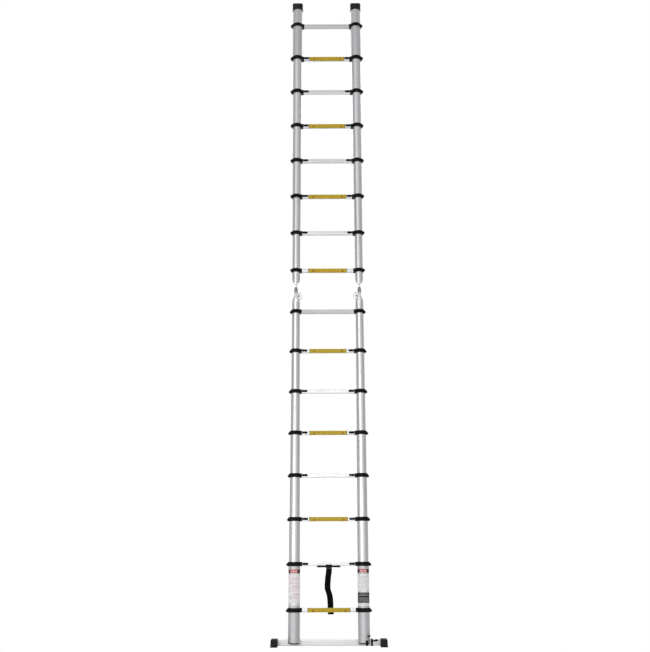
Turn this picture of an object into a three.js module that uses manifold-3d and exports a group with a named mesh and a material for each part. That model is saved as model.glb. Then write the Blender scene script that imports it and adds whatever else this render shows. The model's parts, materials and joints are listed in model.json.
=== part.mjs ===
// Telescopic double ladder, standing upright and fully extended, in millimetres with +Z up.
// Two mirrored halves of nested round tubes meet at a pair of fold hinges half way up. Rungs are
// numbered 1 (bottom) to 16 (top), and section N is the U-shaped frame that carries rung N.
import * as THREE from "three";
import { mergeVertices } from "three/addons/utils/BufferGeometryUtils.js";
import Module from "manifold-3d";

const wasm = await Module();
wasm.setup();

// ---- driving dimensions ----
const RAIL_X = 235; // each rail's axis, from the middle
const RAIL_Y = -13.5; // both rails' plane, set so that the whole part is centred on Y = 0
const PITCH = 300; // rung to rung, extended
const FIRST_RUNG = 235; // height of rung 1
const HINGE_GAP = 320; // rung 8 to rung 9
const TUBE_OD = [79, 74, 69, 66, 63, 60, 57]; // from a ladder end towards the hinges
const WALL = 1.2;
const GAP = 0.3; // between parts that slide, turn or sit in each other
const TUBE_SIDES = 16;
const OVERLAP = 70; // of an extended tube inside the next
const BASE_FOOT = 27; // lower end of the base tubes

const RUNG_HIGH = 28;
const RUNG_DEEP = 30;
const RUNG_WALL = 2;
const RUNG_SEAT = 8; // of a rung's end inside its collar
const COLLAR_HIGH = 28;
const COLLAR_RING = 5; // collar wall over the tube
const COLLAR_NOSE = 17; // outer wedge, from the tube's surface
const COLLAR_BLOCK = 15; // inner block, from the tube's surface

const LATCH = { long: 38, high: 15, thick: 5, lift: 1, travel: 8, stem: 26, stemHigh: 7, setback: 6 };

const PIVOT_BACK = 53; // fold axis behind the rails' plane
const PIVOT_Z = FIRST_RUNG + 7 * PITCH + HINGE_GAP / 2;
const TONGUE = 17; // thickness of the upper knuckle
const NECK = 11; // thickness of the web above it
const BUFFER = { wide: 27, low: PIVOT_Z - 11, high: PIVOT_Z + 28, front: -16, rear: 14 };
const EAR_OUT = 15.5; // outer faces of the lower fork's ears, from the tube's axis
const PIN_R = 6;
const PIN_HEAD = { r: 10, proud: 3 };
const LOCK = { z: PIVOT_Z - 37, r: 4.5, head: 6.5, headLong: 13 }; // the lock's pin and its knob
const PULL = { high: 28, deep: 15.5, wire: 1.7, back: -EAR_OUT - 12 }; // the ring on the knob

const CAP = { od: 85, high: 54, roof: 6, pad: 22 };
const TOP = 4950; // top of the caps
const BAR = { half: 385.5, low: 5, high: 46, front: 39.9, thick: 20, wall: 2 };
const FOOT = { inner: 346, outer: 392, high: 50, front: -48, rear: 68 };
const CLAMP = { x: 289, wide: 13, wall: 3 }; // band round the bar, outside the right rail
const LEVER = { z: 35, reach: 41, thick: 6 };
const STRAP = { wide: 40, thick: 2, low: 206 };
const HANDLE = { half: 80, r: 7, z: 519, block: 21 };

// ---- solids from three.js geometry ----
function solid(geometry) {
  geometry.deleteAttribute("normal");
  geometry.deleteAttribute("uv");
  const merged = mergeVertices(geometry, 1e-4);
  return new wasm.Manifold(
    new wasm.Mesh({
      numProp: 3,
      vertProperties: new Float32Array(merged.attributes.position.array),
      triVerts: new Uint32Array(merged.index.array),
    }),
  );
}

function outline(points) {
  return points.map(([a, b]) => new THREE.Vector2(a, b));
}

function ring(sides, radius, cx = 0, cy = 0) {
  return Array.from({ length: sides }, (_, i) => {
    const a = (2 * Math.PI * i) / sides;
    return [cx + radius * Math.cos(a), cy + radius * Math.sin(a)];
  });
}

function extruded(points, length, holes = []) {
  const shape = new THREE.Shape(outline(points));
  for (const hole of holes) shape.holes.push(new THREE.Path(outline(hole)));
  return new THREE.ExtrudeGeometry(shape, { depth: length, bevelEnabled: false });
}

// An (x, y) outline, from z0 to z1.
function alongZ(points, z0, z1, holes = []) {
  return solid(extruded(points, z1 - z0, holes).translate(0, 0, z0));
}

// A (y, z) outline, from x0 to x1.
function alongX(points, x0, x1, holes = []) {
  const turn = new THREE.Matrix4().makeBasis(
    new THREE.Vector3(0, 1, 0),
    new THREE.Vector3(0, 0, 1),
    new THREE.Vector3(1, 0, 0),
  );
  return solid(extruded(points, x1 - x0, holes).applyMatrix4(turn).translate(x0, 0, 0));
}

// An (x, z) outline, from y0 to y1.
function alongY(points, y0, y1) {
  return solid(extruded(points, y1 - y0).rotateX(Math.PI / 2).translate(0, y1, 0));
}

function box(x0, x1, y0, y1, z0, z1) {
  const geometry = new THREE.BoxGeometry(x1 - x0, y1 - y0, z1 - z0);
  return solid(geometry.translate((x0 + x1) / 2, (y0 + y1) / 2, (z0 + z1) / 2));
}

// Several solids as one.
function joined(...solids) {
  return solids.reduce((whole, s) => whole.add(s));
}

// A solid drawn on the right side, about the tube's axis with x away from the middle, in its place.
function placed(side, s) {
  const there = s.translate([RAIL_X, RAIL_Y, 0]);
  return side === "right" ? there : there.mirror([1, 0, 0]);
}

const root = new THREE.Group();

function add(name, s, finish) {
  const mesh = s.getMesh();
  const geometry = new THREE.BufferGeometry();
  geometry.setAttribute("position", new THREE.BufferAttribute(mesh.vertProperties, 3));
  geometry.setIndex(new THREE.BufferAttribute(mesh.triVerts, 1));
  geometry.computeVertexNormals();
  const part = new THREE.Mesh(geometry, new THREE.MeshStandardMaterial(finish));
  part.name = name;
  root.add(part);
}

const ALUMINIUM = { color: 0xc6c6c8, roughness: 0.42, metalness: 1 };
const CASTING = { color: 0xb0b0b2, roughness: 0.5, metalness: 1 };
const STEEL = { color: 0x9a9a9c, roughness: 0.3, metalness: 1 };
const NYLON = { color: 0x101011, roughness: 0.45, metalness: 0 };
const RUBBER = { color: 0x141415, roughness: 0.7, metalness: 0 };
const WEBBING = { color: 0x0c0c0d, roughness: 0.9, metalness: 0 };
const SIDES = ["left", "right"];

// ---- the ladder's plan ----
function rungZ(n) {
  return FIRST_RUNG + (n - 1) * PITCH + (n > 8 ? HINGE_GAP - PITCH : 0);
}

// Rungs 2 to 7 and 10 to 15 sit at a telescoping joint, which their two latches lock.
function isLatched(n) {
  return n !== 1 && n !== 8 && n !== 9 && n !== 16;
}

// Outer radius of the tube that carries rung n: the end tubes carry two rungs each.
function tubeR(n) {
  const fromEnd = n > 8 ? 16 - n : n - 1;
  return TUBE_OD[Math.max(0, fromEnd - 1)] / 2;
}

function tube(r, z0, z1, side) {
  const wall = alongZ(ring(TUBE_SIDES, r), z0, z1, [ring(TUBE_SIDES, r - WALL)]);
  return placed(side, wall);
}

// ---- collars and rungs ----
// A collar about its tube's axis, x away from the middle: a ring with a tapered outer wedge and an
// inner block that takes the rung's end. The wedge's tip is nearer to the collar's outer end, and
// the upper half's collars are turned over. The bore is left for the caller.
function collar(r, z, upper) {
  const over = r + COLLAR_RING;
  const low = z - COLLAR_HIGH / 2;
  const high = z + COLLAR_HIGH / 2;
  const nose = r + COLLAR_NOSE;
  const block = r + COLLAR_BLOCK;
  const band = alongZ(ring(TUBE_SIDES, over), low, high);
  const wedge = alongZ([[0, -over], [over * 0.62, -over * 0.78], [nose, -11], [nose, 11],
    [over * 0.62, over * 0.78], [0, over]], low, high);
  const lift = RUNG_DEEP / 2 + 3;
  const seat = alongZ([[-block, -lift + 3], [-block + 3, -lift], [0, -lift], [0, lift],
    [-block + 3, lift], [-block, lift - 3]], low, high);
  const side = alongY([[-block, low], [r + 7, low], [nose - 2, low + 5], [nose, low + 10],
    [nose - 1, low + 13], [r + 7, high - 5], [r + 3, high], [-block, high]], -over, over);
  const facing = upper ? side.translate([0, 0, -z]).mirror([0, 0, 1]).translate([0, 0, z]) : side;
  return joined(band, wedge, seat).intersect(facing);
}

// Rung n's hollow extrusion: chamfered corners, a ribbed tread, and latch slots or a drain hole.
function rung(n, latched) {
  const z = rungZ(n);
  const reach = RAIL_X - tubeR(n) - COLLAR_BLOCK + RUNG_SEAT;
  const y = RUNG_DEEP / 2;
  const h = RUNG_HIGH / 2;
  const tread = [9, 2, -5].flatMap((at) => [[at, h], [at - 1, h - 1], [at - 3, h - 1],
    [at - 4, h]]);
  const outside = [[-y, -h + 2], [-y + 2, -h], [y - 2, -h], [y, -h + 2], [y, h - 3], [y - 3, h],
    ...tread, [-y + 3, h], [-y, h - 3]].map(([a, b]) => [a + RAIL_Y, b + z]);
  const inY = y - RUNG_WALL;
  const inH = h - RUNG_WALL - 1;
  const inside = [[-inY, -inH], [inY, -inH], [inY, inH], [-inY, inH]]
    .map(([a, b]) => [a + RAIL_Y, b + z]);
  let made = alongX(outside, -reach, reach, [inside]);
  if (latched) {
    for (const side of SIDES) made = made.subtract(placed(side, latchSlot(n)));
    return made;
  }
  const drain = alongZ(ring(8, 3, 0, RAIL_Y), z - h - 1, z - inH + 1);
  return made.subtract(drain);
}

// ---- thumb latches, about the tube's axis with x away from the middle ----
function latchEnd(n) {
  return -(tubeR(n) + COLLAR_BLOCK) - 0.5;
}

function latchSlot(n) {
  const end = latchEnd(n);
  const z = rungZ(n) + LATCH.lift;
  const half = LATCH.stemHigh / 2 + GAP;
  const outer = end - LATCH.setback + GAP;
  const inner = end - LATCH.setback - LATCH.stem - LATCH.travel - GAP;
  const front = -RUNG_DEEP / 2;
  return box(inner, outer, front - 1, front + RUNG_WALL + 1, z - half, z + half);
}

function latch(n) {
  const end = latchEnd(n);
  const z = rungZ(n) + LATCH.lift;
  const h = LATCH.high / 2;
  const s = LATCH.stemHigh / 2;
  const front = -RUNG_DEEP / 2 - GAP;
  const tab = alongZ([[end, front], [end, front - 3.5], [end - 3, front - LATCH.thick],
    [end - LATCH.long + 8, front - LATCH.thick], [end - LATCH.long, front - 3],
    [end - LATCH.long, front]], z - h, z + h);
  const shaped = alongX([[front + 1, z - h], [front + 1, z + h], [front - 3, z + h],
    [front - LATCH.thick, z + h - 2], [front - LATCH.thick, z - h + 2], [front - 3, z - h]],
    end - LATCH.long - 1, end + 1);
  const outer = end - LATCH.setback;
  const stem = box(outer - LATCH.stem, outer, front - 1, front + 6, z - s, z + s);
  return joined(tab.intersect(shaped), stem);
}

// ---- one step: both collars and the rung ----
function step(n, bore, latched) {
  const z = rungZ(n);
  const r = tubeR(n);
  const collars = SIDES.map((side) => placed(side, collar(r, z, n > 8)));
  const holes = SIDES.map((side) =>
    placed(side, alongZ(ring(TUBE_SIDES, bore), z - COLLAR_HIGH, z + COLLAR_HIGH)));
  return joined(...collars, rung(n, latched)).subtract(holes[0]).subtract(holes[1]);
}

// Section n: its two tubes, and the step at the tubes' open end.
const TUBE_END = COLLAR_HIGH / 2 - 2; // how far a tube reaches into the outer half of its collar

function section(n) {
  const upper = n > 8;
  const r = tubeR(n);
  const z = rungZ(n);
  const span = { low: rungZ(n - 1) - OVERLAP, high: z + TUBE_END };
  if (upper) {
    span.low = z - TUBE_END;
    span.high = rungZ(n + 1) + OVERLAP;
  }
  if (n === 8) span.high = LOWER_SEAT;
  if (n === 9) span.low = UPPER_CUT;
  const tubes = SIDES.map((side) => tube(r, span.low, span.high, side));
  let made = joined(...tubes, step(n, r - 0.8, isLatched(n)));
  if (n === 9) for (const side of SIDES) made = made.subtract(placed(side, obliqueCut(r)));
  return made;
}

// ---- hinges, about the tube's axis with x away from the middle ----
const LOWER_SEAT = rungZ(8) + 62; // flat upper end of section 8's tubes
const SHOULDER = LOWER_SEAT + 46; // where the lower casting has narrowed to its ears
const FULL_WIDTH = LOWER_SEAT + 22; // the height it keeps the tube's width to
const SLOT_LOW = LOWER_SEAT + 15; // floor of the fork, the stop for the upper tongue
const UPPER_CUT = rungZ(9) - 116; // lowest point of section 9's tubes, at the front
const CUT_RISE = 88; // how much higher their slanted end is at the rear

// What is cut off section 9's tubes: all that is below a plane which rises towards the rear.
function obliqueCut(r) {
  const rear = UPPER_CUT + CUT_RISE;
  return alongX([[-r - 1, UPPER_CUT - 1], [r + 1, UPPER_CUT - 1], [r + 1, rear], [r, rear],
    [-r, UPPER_CUT], [-r - 1, UPPER_CUT]], -r - 1, r + 1);
}

// Points on an arc about the fold axis, for an outline seen from the side.
function aboutPivot(radius, from, to) {
  const steps = 6;
  return Array.from({ length: steps + 1 }, (_, i) => {
    const a = THREE.MathUtils.degToRad(from + ((to - from) * i) / steps);
    return [PIVOT_BACK + radius * Math.cos(a), PIVOT_Z + radius * Math.sin(a)];
  });
}

// The lower casting: a sleeve inside section 8's tube, shoulders, and a fork with its riveted pin.
function lowerHinge() {
  const r = tubeR(8);
  const plug = r - WALL - GAP;
  const sleeve = alongZ(ring(TUBE_SIDES, plug), LOWER_SEAT - 40, LOWER_SEAT + GAP);
  const body = alongZ(ring(TUBE_SIDES, r), LOWER_SEAT + GAP, SHOULDER + 4);
  const taper = alongY([[-r, LOWER_SEAT], [r, LOWER_SEAT], [r, FULL_WIDTH],
    [EAR_OUT, SHOULDER], [EAR_OUT, SHOULDER + 4], [-EAR_OUT, SHOULDER + 4], [-EAR_OUT, SHOULDER],
    [-r, FULL_WIDTH]], -r, r);
  const ears = alongX([[-21, SLOT_LOW - 4], [26, SLOT_LOW - 4], ...aboutPivot(18, -60, 150),
    [16, PIVOT_Z - 15], [-19, PIVOT_Z - 20], [-21, PIVOT_Z - 22]], -EAR_OUT, EAR_OUT);
  const half = TONGUE / 2 + GAP;
  const slot = box(-half, half, -40, 80, SLOT_LOW, PIVOT_Z + 40);
  const lockHole = alongX(ring(12, LOCK.r + GAP, 0, LOCK.z), -EAR_OUT - 1, -half + 1);
  const pin = alongX(ring(12, PIN_R, PIVOT_BACK, PIVOT_Z), -EAR_OUT - 1, EAR_OUT + 1);
  const heads = [-EAR_OUT - PIN_HEAD.proud, EAR_OUT - 1].map((x) =>
    alongX(ring(12, PIN_HEAD.r, PIVOT_BACK, PIVOT_Z), x, x + PIN_HEAD.proud + 1));
  const fork = joined(sleeve, body.intersect(taper), ears).subtract(slot).subtract(lockHole);
  return joined(fork, pin, ...heads);
}

// The upper casting: an insert with a slanted end, a web, a buffer block that sits over the fork,
// and the knuckle between the fork's ears.
function upperHinge() {
  const r = tubeR(9);
  const plug = r - WALL - GAP;
  const top = UPPER_CUT + CUT_RISE + 26;
  const insert = alongZ(ring(TUBE_SIDES, plug), UPPER_CUT + 2, top);
  const slant = alongX([[-r, UPPER_CUT + 4], [r, UPPER_CUT + CUT_RISE + 4], [r, top + 1],
    [-r, top + 1]], -r, r);
  const web = alongX([[-14, PIVOT_Z + 20], [18, PIVOT_Z + 16], [24, top - 10], [-14, top - 10]],
    -NECK / 2, NECK / 2);
  const buffer = box(-BUFFER.wide / 2, BUFFER.wide / 2, BUFFER.front, BUFFER.rear,
    BUFFER.low, BUFFER.high);
  const knuckle = alongX([[-20, SLOT_LOW + 0.5], [16, SLOT_LOW + 0.5],
    ...aboutPivot(17, -90, 60), [18, PIVOT_Z + 20], [-14, PIVOT_Z + 20], [-16, PIVOT_Z - 11],
    [-20, PIVOT_Z - 20]], -TONGUE / 2, TONGUE / 2);
  const pinHole = alongX(ring(12, PIN_R + GAP, PIVOT_BACK, PIVOT_Z), -TONGUE, TONGUE);
  return joined(insert.intersect(slant), web, buffer, knuckle).subtract(pinHole);
}

// Spring lock: a pin through the inner ear, with a D-shaped pull ring on its knob.
function hingeLock() {
  const { z, r, head, headLong } = LOCK;
  const { high, deep, wire, back } = PULL;
  const pin = alongX(ring(12, r, 0, z), -EAR_OUT - 2, -TONGUE / 2 - 0.7);
  const knob = alongX(ring(12, head, 0, z), -EAR_OUT - 0.6 - headLong, -EAR_OUT - 0.6);
  const hoop = solid(new THREE.TorusGeometry(high, wire, 6, 24).rotateX(Math.PI / 2)
    .scale(deep / high, 1, 1).translate(back, 0, z));
  const outwards = box(back - 2 * deep, back, -10, 10, z - 2 * high, z + 2 * high);
  const straight = alongZ(ring(6, wire, back, 0), z - high - 1, z + high + 1);
  return joined(pin, knob, hoop.intersect(outwards), straight);
}

// ---- caps, stabiliser bar and strap ----
// A rounded square outline.
function roundedSquare(half, corner) {
  return [0, 90, 180, 270].flatMap((start) => Array.from({ length: 5 }, (_, i) => {
    const a = THREE.MathUtils.degToRad(start + (90 * i) / 4);
    const [cx, cy] = [[1, 1], [-1, 1], [-1, -1], [1, -1]][start / 90];
    return [(half - corner) * cx + corner * Math.cos(a), (half - corner) * cy + corner * Math.sin(a)];
  }));
}

// A round grooved cap that ends in a squarer pad.
function cap() {
  const r = CAP.od / 2;
  const inside = TUBE_OD[0] / 2 + GAP;
  const roof = TOP - CAP.roof;
  const low = TOP - CAP.high;
  const profile = [[inside, low], [r - 1, low], [r, low + 2], [r, low + 14], [r - 1.2, low + 16],
    [r - 1.2, low + 18], [r, low + 20], [r, TOP - CAP.pad], [r - 2, TOP - CAP.pad + 2],
    [r - 4, TOP - 1], [0, TOP - 1], [0, roof], [inside, roof], [inside, low]];
  const round = solid(new THREE.LatheGeometry(outline(profile), TUBE_SIDES).rotateX(Math.PI / 2));
  const square = alongZ(roundedSquare(r - 1, 15), TOP - CAP.pad, TOP - 3);
  const crown = alongZ(roundedSquare(r - 4, 12), TOP - 4, TOP);
  const bore = alongZ(ring(TUBE_SIDES, inside), low - 1, roof);
  return joined(round, square, crown).subtract(bore);
}

// The bar's cross-section grown by some margin, with its corners cut.
function barOutline(margin) {
  const front = RAIL_Y + BAR.front - margin;
  const rear = RAIL_Y + BAR.front + BAR.thick + margin;
  const low = BAR.low - margin;
  const high = BAR.high + margin;
  const c = 3;
  return [[front + c, low], [rear - c, low], [rear, low + c], [rear, high - c], [rear - c, high],
    [front + c, high], [front, high - c], [front, low + c]];
}

function stabiliserBar() {
  return alongX(barOutline(0), -BAR.half, BAR.half, [barOutline(-BAR.wall)]);
}

// A ribbed rubber block round the bar's end, deep enough to stand on.
function foot(side) {
  const { inner, outer, high, front, rear } = FOOT;
  const face = alongY([[inner - 1, 0], [outer, 0], [outer - 1, 6], [outer - 3, high - 4],
    [outer - 6, high], [inner + 3, high], [inner, high - 4], [inner - 1, 6]], -90, 90);
  const ribs = [9, 20, 31].flatMap((z) => [[front, z], [front + 2, z + 2], [front + 2, z + 5],
    [front, z + 7]]);
  const profile = [[front, 0], ...ribs, [front, high - 6], [front + 6, high], [rear - 6, high],
    [rear, high - 6], [rear, 0]].map(([y, z]) => [y + RAIL_Y, z]);
  const pocket = alongX(barOutline(GAP), inner - 5, BAR.half + GAP);
  const made = face.intersect(alongX(profile, inner - 5, outer + 5)).subtract(pocket);
  return side === "right" ? made : made.mirror([1, 0, 0]);
}

// The lock of the bar: a band round it with a stub for the lever, and a clip on the rail's foot.
const CLAMP_FRONT = RAIL_Y + BAR.front - CLAMP.wall;

function barClamp() {
  const x0 = CLAMP.x - CLAMP.wide / 2;
  const band = alongX(barOutline(CLAMP.wall), x0, x0 + CLAMP.wide, [barOutline(GAP)]);
  const stub = alongY(ring(10, 3, CLAMP.x, LEVER.z), CLAMP_FRONT - LEVER.thick - 2, CLAMP_FRONT + 1);
  return joined(band, stub);
}

function clampLever() {
  const tip = CLAMP.x + LEVER.reach;
  const y1 = CLAMP_FRONT - GAP;
  const z = LEVER.z;
  const arm = alongY([[CLAMP.x - 5, z - 4], [CLAMP.x + 6, z - 5], [tip - 3, z + 2], [tip, z + 6],
    [tip - 4, z + 9], [CLAMP.x + 4, z + 5], [CLAMP.x - 5, z + 4]], y1 - LEVER.thick, y1);
  return arm.subtract(alongY(ring(10, 3 + GAP, CLAMP.x, z), y1 - 20, y1 + 1));
}

function railClip() {
  const r = TUBE_OD[0] / 2;
  const shell = alongZ(ring(TUBE_SIDES, r + 3), 9, 43, [ring(TUBE_SIDES, r + GAP)]);
  return placed("right", shell.intersect(box(10, 26, -60, 0, 0, 60)));
}

// A closed skin over equal rings of points.
function loft(rings) {
  const count = rings[0].length;
  const index = [];
  for (let i = 0; i + 1 < rings.length; i++) {
    for (let j = 0; j < count; j++) {
      const [a, b] = [i * count + j, i * count + ((j + 1) % count)];
      index.push(a, b, b + count, a, b + count, a + count);
    }
  }
  const last = (rings.length - 1) * count;
  for (let j = 1; j + 1 < count; j++) {
    index.push(0, j + 1, j);
    index.push(last, last + j, last + j + 1);
  }
  const geometry = new THREE.BufferGeometry();
  geometry.setAttribute("position", new THREE.Float32BufferAttribute(rings.flat(2), 3));
  return solid(geometry.setIndex(index));
}

// Webbing from the handle in front of rung 2 down to the rear of rung 1, slack to one side.
// Each station is its height, its sideways shift, and its depth from the rails' plane.
function strap() {
  const rear = RUNG_DEEP / 2 + 0.6 + STRAP.thick / 2;
  const stations = [[STRAP.low, 13, rear], [232, 12, rear], [257, 11, rear], [289, 10, 11],
    [326, 6, 6], [350, -1, 2], [372, -8, -1], [400, -8.5, -6], [444, -5, -12], [480, 0, -17],
    [HANDLE.z - 11.5, 2, -20]];
  const half = STRAP.wide / 2;
  const t = STRAP.thick / 2;
  return loft(stations.map(([z, x, y]) => [[x - half, y - t], [x + half, y - t],
    [x + half, y + t], [x - half, y + t]].map(([u, v]) => [u, v + RAIL_Y, z])));
}

function strapHandle() {
  const y = RAIL_Y - RUNG_DEEP / 2 - 0.5 - HANDLE.r;
  const rod = alongX(ring(12, HANDLE.r, y, HANDLE.z), -HANDLE.half, HANDLE.half);
  const block = box(-HANDLE.block, HANDLE.block, y - HANDLE.r - 1, y + HANDLE.r,
    HANDLE.z - 11, HANDLE.z + 12);
  return joined(rod, block);
}

// ---- assembly ----
const baseR = tubeR(1);
for (const side of SIDES) {
  add(`base_tube_${side}`, tube(baseR, BASE_FOOT, rungZ(2) + TUBE_END, side), ALUMINIUM);
  add(`top_tube_${side}`, tube(baseR, rungZ(15) - TUBE_END, TOP - CAP.roof - GAP, side), ALUMINIUM);
  add(`top_cap_${side}`, placed(side, cap()), RUBBER);
  add(`bar_foot_${side}`, foot(side), RUBBER);
  add(`lower_hinge_${side}`, placed(side, lowerHinge()), CASTING);
  add(`upper_hinge_${side}`, placed(side, upperHinge()), CASTING);
  add(`hinge_lock_${side}`, placed(side, hingeLock()), STEEL);
}
for (const n of [1, 2, 15, 16]) {
  add(`step_${n}`, step(n, baseR + GAP, isLatched(n)), ALUMINIUM);
}
for (let n = 3; n <= 14; n++) {
  add(`section_${n}`, section(n), ALUMINIUM);
}
for (let n = 2; n <= 15; n++) {
  if (!isLatched(n)) continue;
  for (const side of SIDES) add(`latch_${n}_${side}`, placed(side, latch(n)), NYLON);
}
add("stabiliser_bar", stabiliserBar(), ALUMINIUM);
add("bar_clamp", barClamp(), NYLON);
add("clamp_lever", clampLever(), NYLON);
add("rail_clip", railClip(), NYLON);
add("strap", strap(), WEBBING);
add("strap_handle", strapHandle(), NYLON);

export default root;
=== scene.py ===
"""Telescopic double ladder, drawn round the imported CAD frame. Metres, +Z up, front towards -Y.

Rungs are numbered 1 (bottom) to 16 (top). Every height and radius comes from the CAD frame or from
the few driving dimensions below, which are the ones that part.mjs is built from.
"""

import json
import math

import bmesh
import bpy
from mathutils import Matrix, Vector


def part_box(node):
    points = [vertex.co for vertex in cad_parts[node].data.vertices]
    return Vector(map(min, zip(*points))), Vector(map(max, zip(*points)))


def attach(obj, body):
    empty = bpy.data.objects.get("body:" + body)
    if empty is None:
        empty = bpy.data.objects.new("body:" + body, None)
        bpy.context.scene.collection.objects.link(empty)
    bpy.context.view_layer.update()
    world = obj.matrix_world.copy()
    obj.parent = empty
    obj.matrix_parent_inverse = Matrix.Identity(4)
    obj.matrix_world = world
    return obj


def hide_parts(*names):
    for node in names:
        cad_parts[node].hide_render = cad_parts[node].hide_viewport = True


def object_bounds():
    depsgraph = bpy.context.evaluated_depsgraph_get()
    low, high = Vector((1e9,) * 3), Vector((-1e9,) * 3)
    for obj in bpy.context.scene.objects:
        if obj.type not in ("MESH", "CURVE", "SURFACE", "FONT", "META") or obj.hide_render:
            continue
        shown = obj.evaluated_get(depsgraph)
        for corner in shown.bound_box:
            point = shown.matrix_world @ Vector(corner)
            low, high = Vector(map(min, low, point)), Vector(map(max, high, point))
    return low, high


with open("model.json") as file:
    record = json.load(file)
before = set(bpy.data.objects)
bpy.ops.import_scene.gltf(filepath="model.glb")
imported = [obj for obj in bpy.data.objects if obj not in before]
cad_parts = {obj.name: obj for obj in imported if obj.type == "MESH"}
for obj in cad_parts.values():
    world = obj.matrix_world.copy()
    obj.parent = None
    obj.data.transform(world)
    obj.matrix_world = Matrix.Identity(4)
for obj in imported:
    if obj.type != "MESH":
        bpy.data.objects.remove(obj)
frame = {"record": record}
CAD_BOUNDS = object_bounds()

MM = 0.001
SIDES = {"left": -1, "right": 1}
RUNGS = range(1, 17)
LATCHED = [n for n in RUNGS if n not in (1, 8, 9, 16)]
LABELLED = [n for n in RUNGS if n % 2]
ROUND = 64  # sides of a round tube
COLLAR_SIDES = 120


# ---- sizes from the frame ----
def middle(node):
    low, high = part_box(node)
    return [(a + b) / 2 for a, b in zip(low, high)]


BASE_LOW, BASE_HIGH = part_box("base_tube_right")
RAIL_X, RAIL_Y, _ = middle("base_tube_right")
END_R = (BASE_HIGH[0] - BASE_LOW[0]) / 2
BASE_FOOT = BASE_LOW[2]
FIRST_RUNG = middle("step_1")[2]
PITCH = middle("step_2")[2] - FIRST_RUNG
HINGE_EXTRA = middle("step_16")[2] - FIRST_RUNG - 15 * PITCH
TUBE_OD = [79, 74, 69, 66, 63, 60, 57]  # mm, from a ladder end towards the hinges
WALL = 1.2 * MM
GAP = 0.3 * MM
OVERLAP = 70 * MM
TUBE_END = 12 * MM  # from a rung's height to the open end of its tubes
RUNG_DEEP = 30 * MM
RUNG_HALF = 14 * MM
COLLAR_RING = 5 * MM
COLLAR_BLOCK = 15 * MM
CAP_ROOF = 6 * MM
LATCH_LIFT = 1 * MM  # above the rung's middle
LATCH_LONG = 38 * MM
LATCH_TRAVEL = 8 * MM
STEM_NEAR = 6 * MM  # a latch's stem, from the latch's outer end
STEM_FAR = 32 * MM
STEM_HALF = 3.5 * MM
PIVOT_BACK = 53 * MM
EAR_OUT = 15.5 * MM
TONGUE = 17 * MM
NECK = 11 * MM


def rung_z(n):
    return FIRST_RUNG + (n - 1) * PITCH + (HINGE_EXTRA if n > 8 else 0)


PIVOT_Z = (rung_z(8) + rung_z(9)) / 2
LOCK_Z = PIVOT_Z - 37 * MM
LOWER_SEAT = rung_z(8) + 62 * MM
UPPER_CUT = rung_z(9) - 116 * MM
CUT_RISE = 88 * MM  # how much higher the upper tubes' slanted end is at the rear
SHOULDER = LOWER_SEAT + 46 * MM
SLOT_LOW = LOWER_SEAT + 15 * MM
TOP = CAD_BOUNDS[1][2]


def tube_r(n):
    from_end = 16 - n if n > 8 else n - 1
    return TUBE_OD[max(0, from_end - 1)] / 2 * MM


def latch_end(n):
    """How far out along its rung a latch's outer end sits."""
    return RAIL_X - tube_r(n) - COLLAR_BLOCK - 0.5 * MM


def slot_end(n):
    """The inner end of the slot that a latch's stem slides in."""
    return latch_end(n) - STEM_FAR - LATCH_TRAVEL - GAP


def body_of_rung(n):
    if n <= 2:
        return "base"
    return "top" if n >= 15 else f"section_{n}"


def node_of_rung(n):
    return f"step_{n}" if n in (1, 2, 15, 16) else f"section_{n}"


def linked(name, data):
    """A new object in the scene."""
    obj = bpy.data.objects.new(name, data)
    bpy.context.scene.collection.objects.link(obj)
    return obj


# ---- camera: low, close, tilted up ----
FOCAL_PX = 872
IMAGE_SIDE_PX = 652
CAMERA_AWAY = 6.185
CAMERA_HIGH = 0.5
CAMERA_TILT = math.radians(15.59)
CAMERA_ROLL = math.radians(0.17)
CAMERA_YAW = math.radians(0.085)
camera_data = bpy.data.cameras.new("camera")
camera_data.lens = camera_data.sensor_width * FOCAL_PX / IMAGE_SIDE_PX
camera = linked("camera", camera_data)
camera.location = (-0.0165, RAIL_Y - CAMERA_AWAY, CAMERA_HIGH)
camera.rotation_euler = (math.pi / 2 + CAMERA_TILT, CAMERA_ROLL, CAMERA_YAW)
bpy.context.scene.camera = camera


# ---- mesh tools ----
def finished(obj, sharp=32):
    """Outward normals, and smooth shading with sharp edges kept."""
    bm = bmesh.new()
    bm.from_mesh(obj.data)
    bmesh.ops.remove_doubles(bm, verts=bm.verts, dist=1e-6)
    bmesh.ops.recalc_face_normals(bm, faces=bm.faces)
    bm.to_mesh(obj.data)
    bm.free()
    obj.data.shade_smooth()
    obj.data.set_sharp_from_angle(angle=math.radians(sharp))
    return obj


def from_data(name, points, faces):
    mesh = bpy.data.meshes.new(name)
    mesh.from_pydata([tuple(p) for p in points], [], faces)
    return finished(linked(name, mesh))


def skin(name, rings, closed=False):
    """A skin over equal rings of points, either closed on itself or capped at both ends."""
    count = len(rings[0])
    faces = []
    for i in range(len(rings) if closed else len(rings) - 1):
        a, b = i * count, ((i + 1) % len(rings)) * count
        for j in range(count):
            k = (j + 1) % count
            faces.append((a + j, a + k, b + k, b + j))
    if not closed:
        faces.append(tuple(reversed(range(count))))
        faces.append(tuple((len(rings) - 1) * count + j for j in range(count)))
    return from_data(name, [p for ring in rings for p in ring], faces)


def prism(name, outline, low, high, axis):
    """An outline across the axis, extruded along it: (y, z) for x, (x, z) for y, (x, y) for z."""
    place = {
        "x": lambda a, b, t: (t, a, b),
        "y": lambda a, b, t: (a, t, b),
        "z": lambda a, b, t: (a, b, t),
    }[axis]
    return skin(name, [[place(a, b, t) for a, b in outline] for t in (low, high)])


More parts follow.
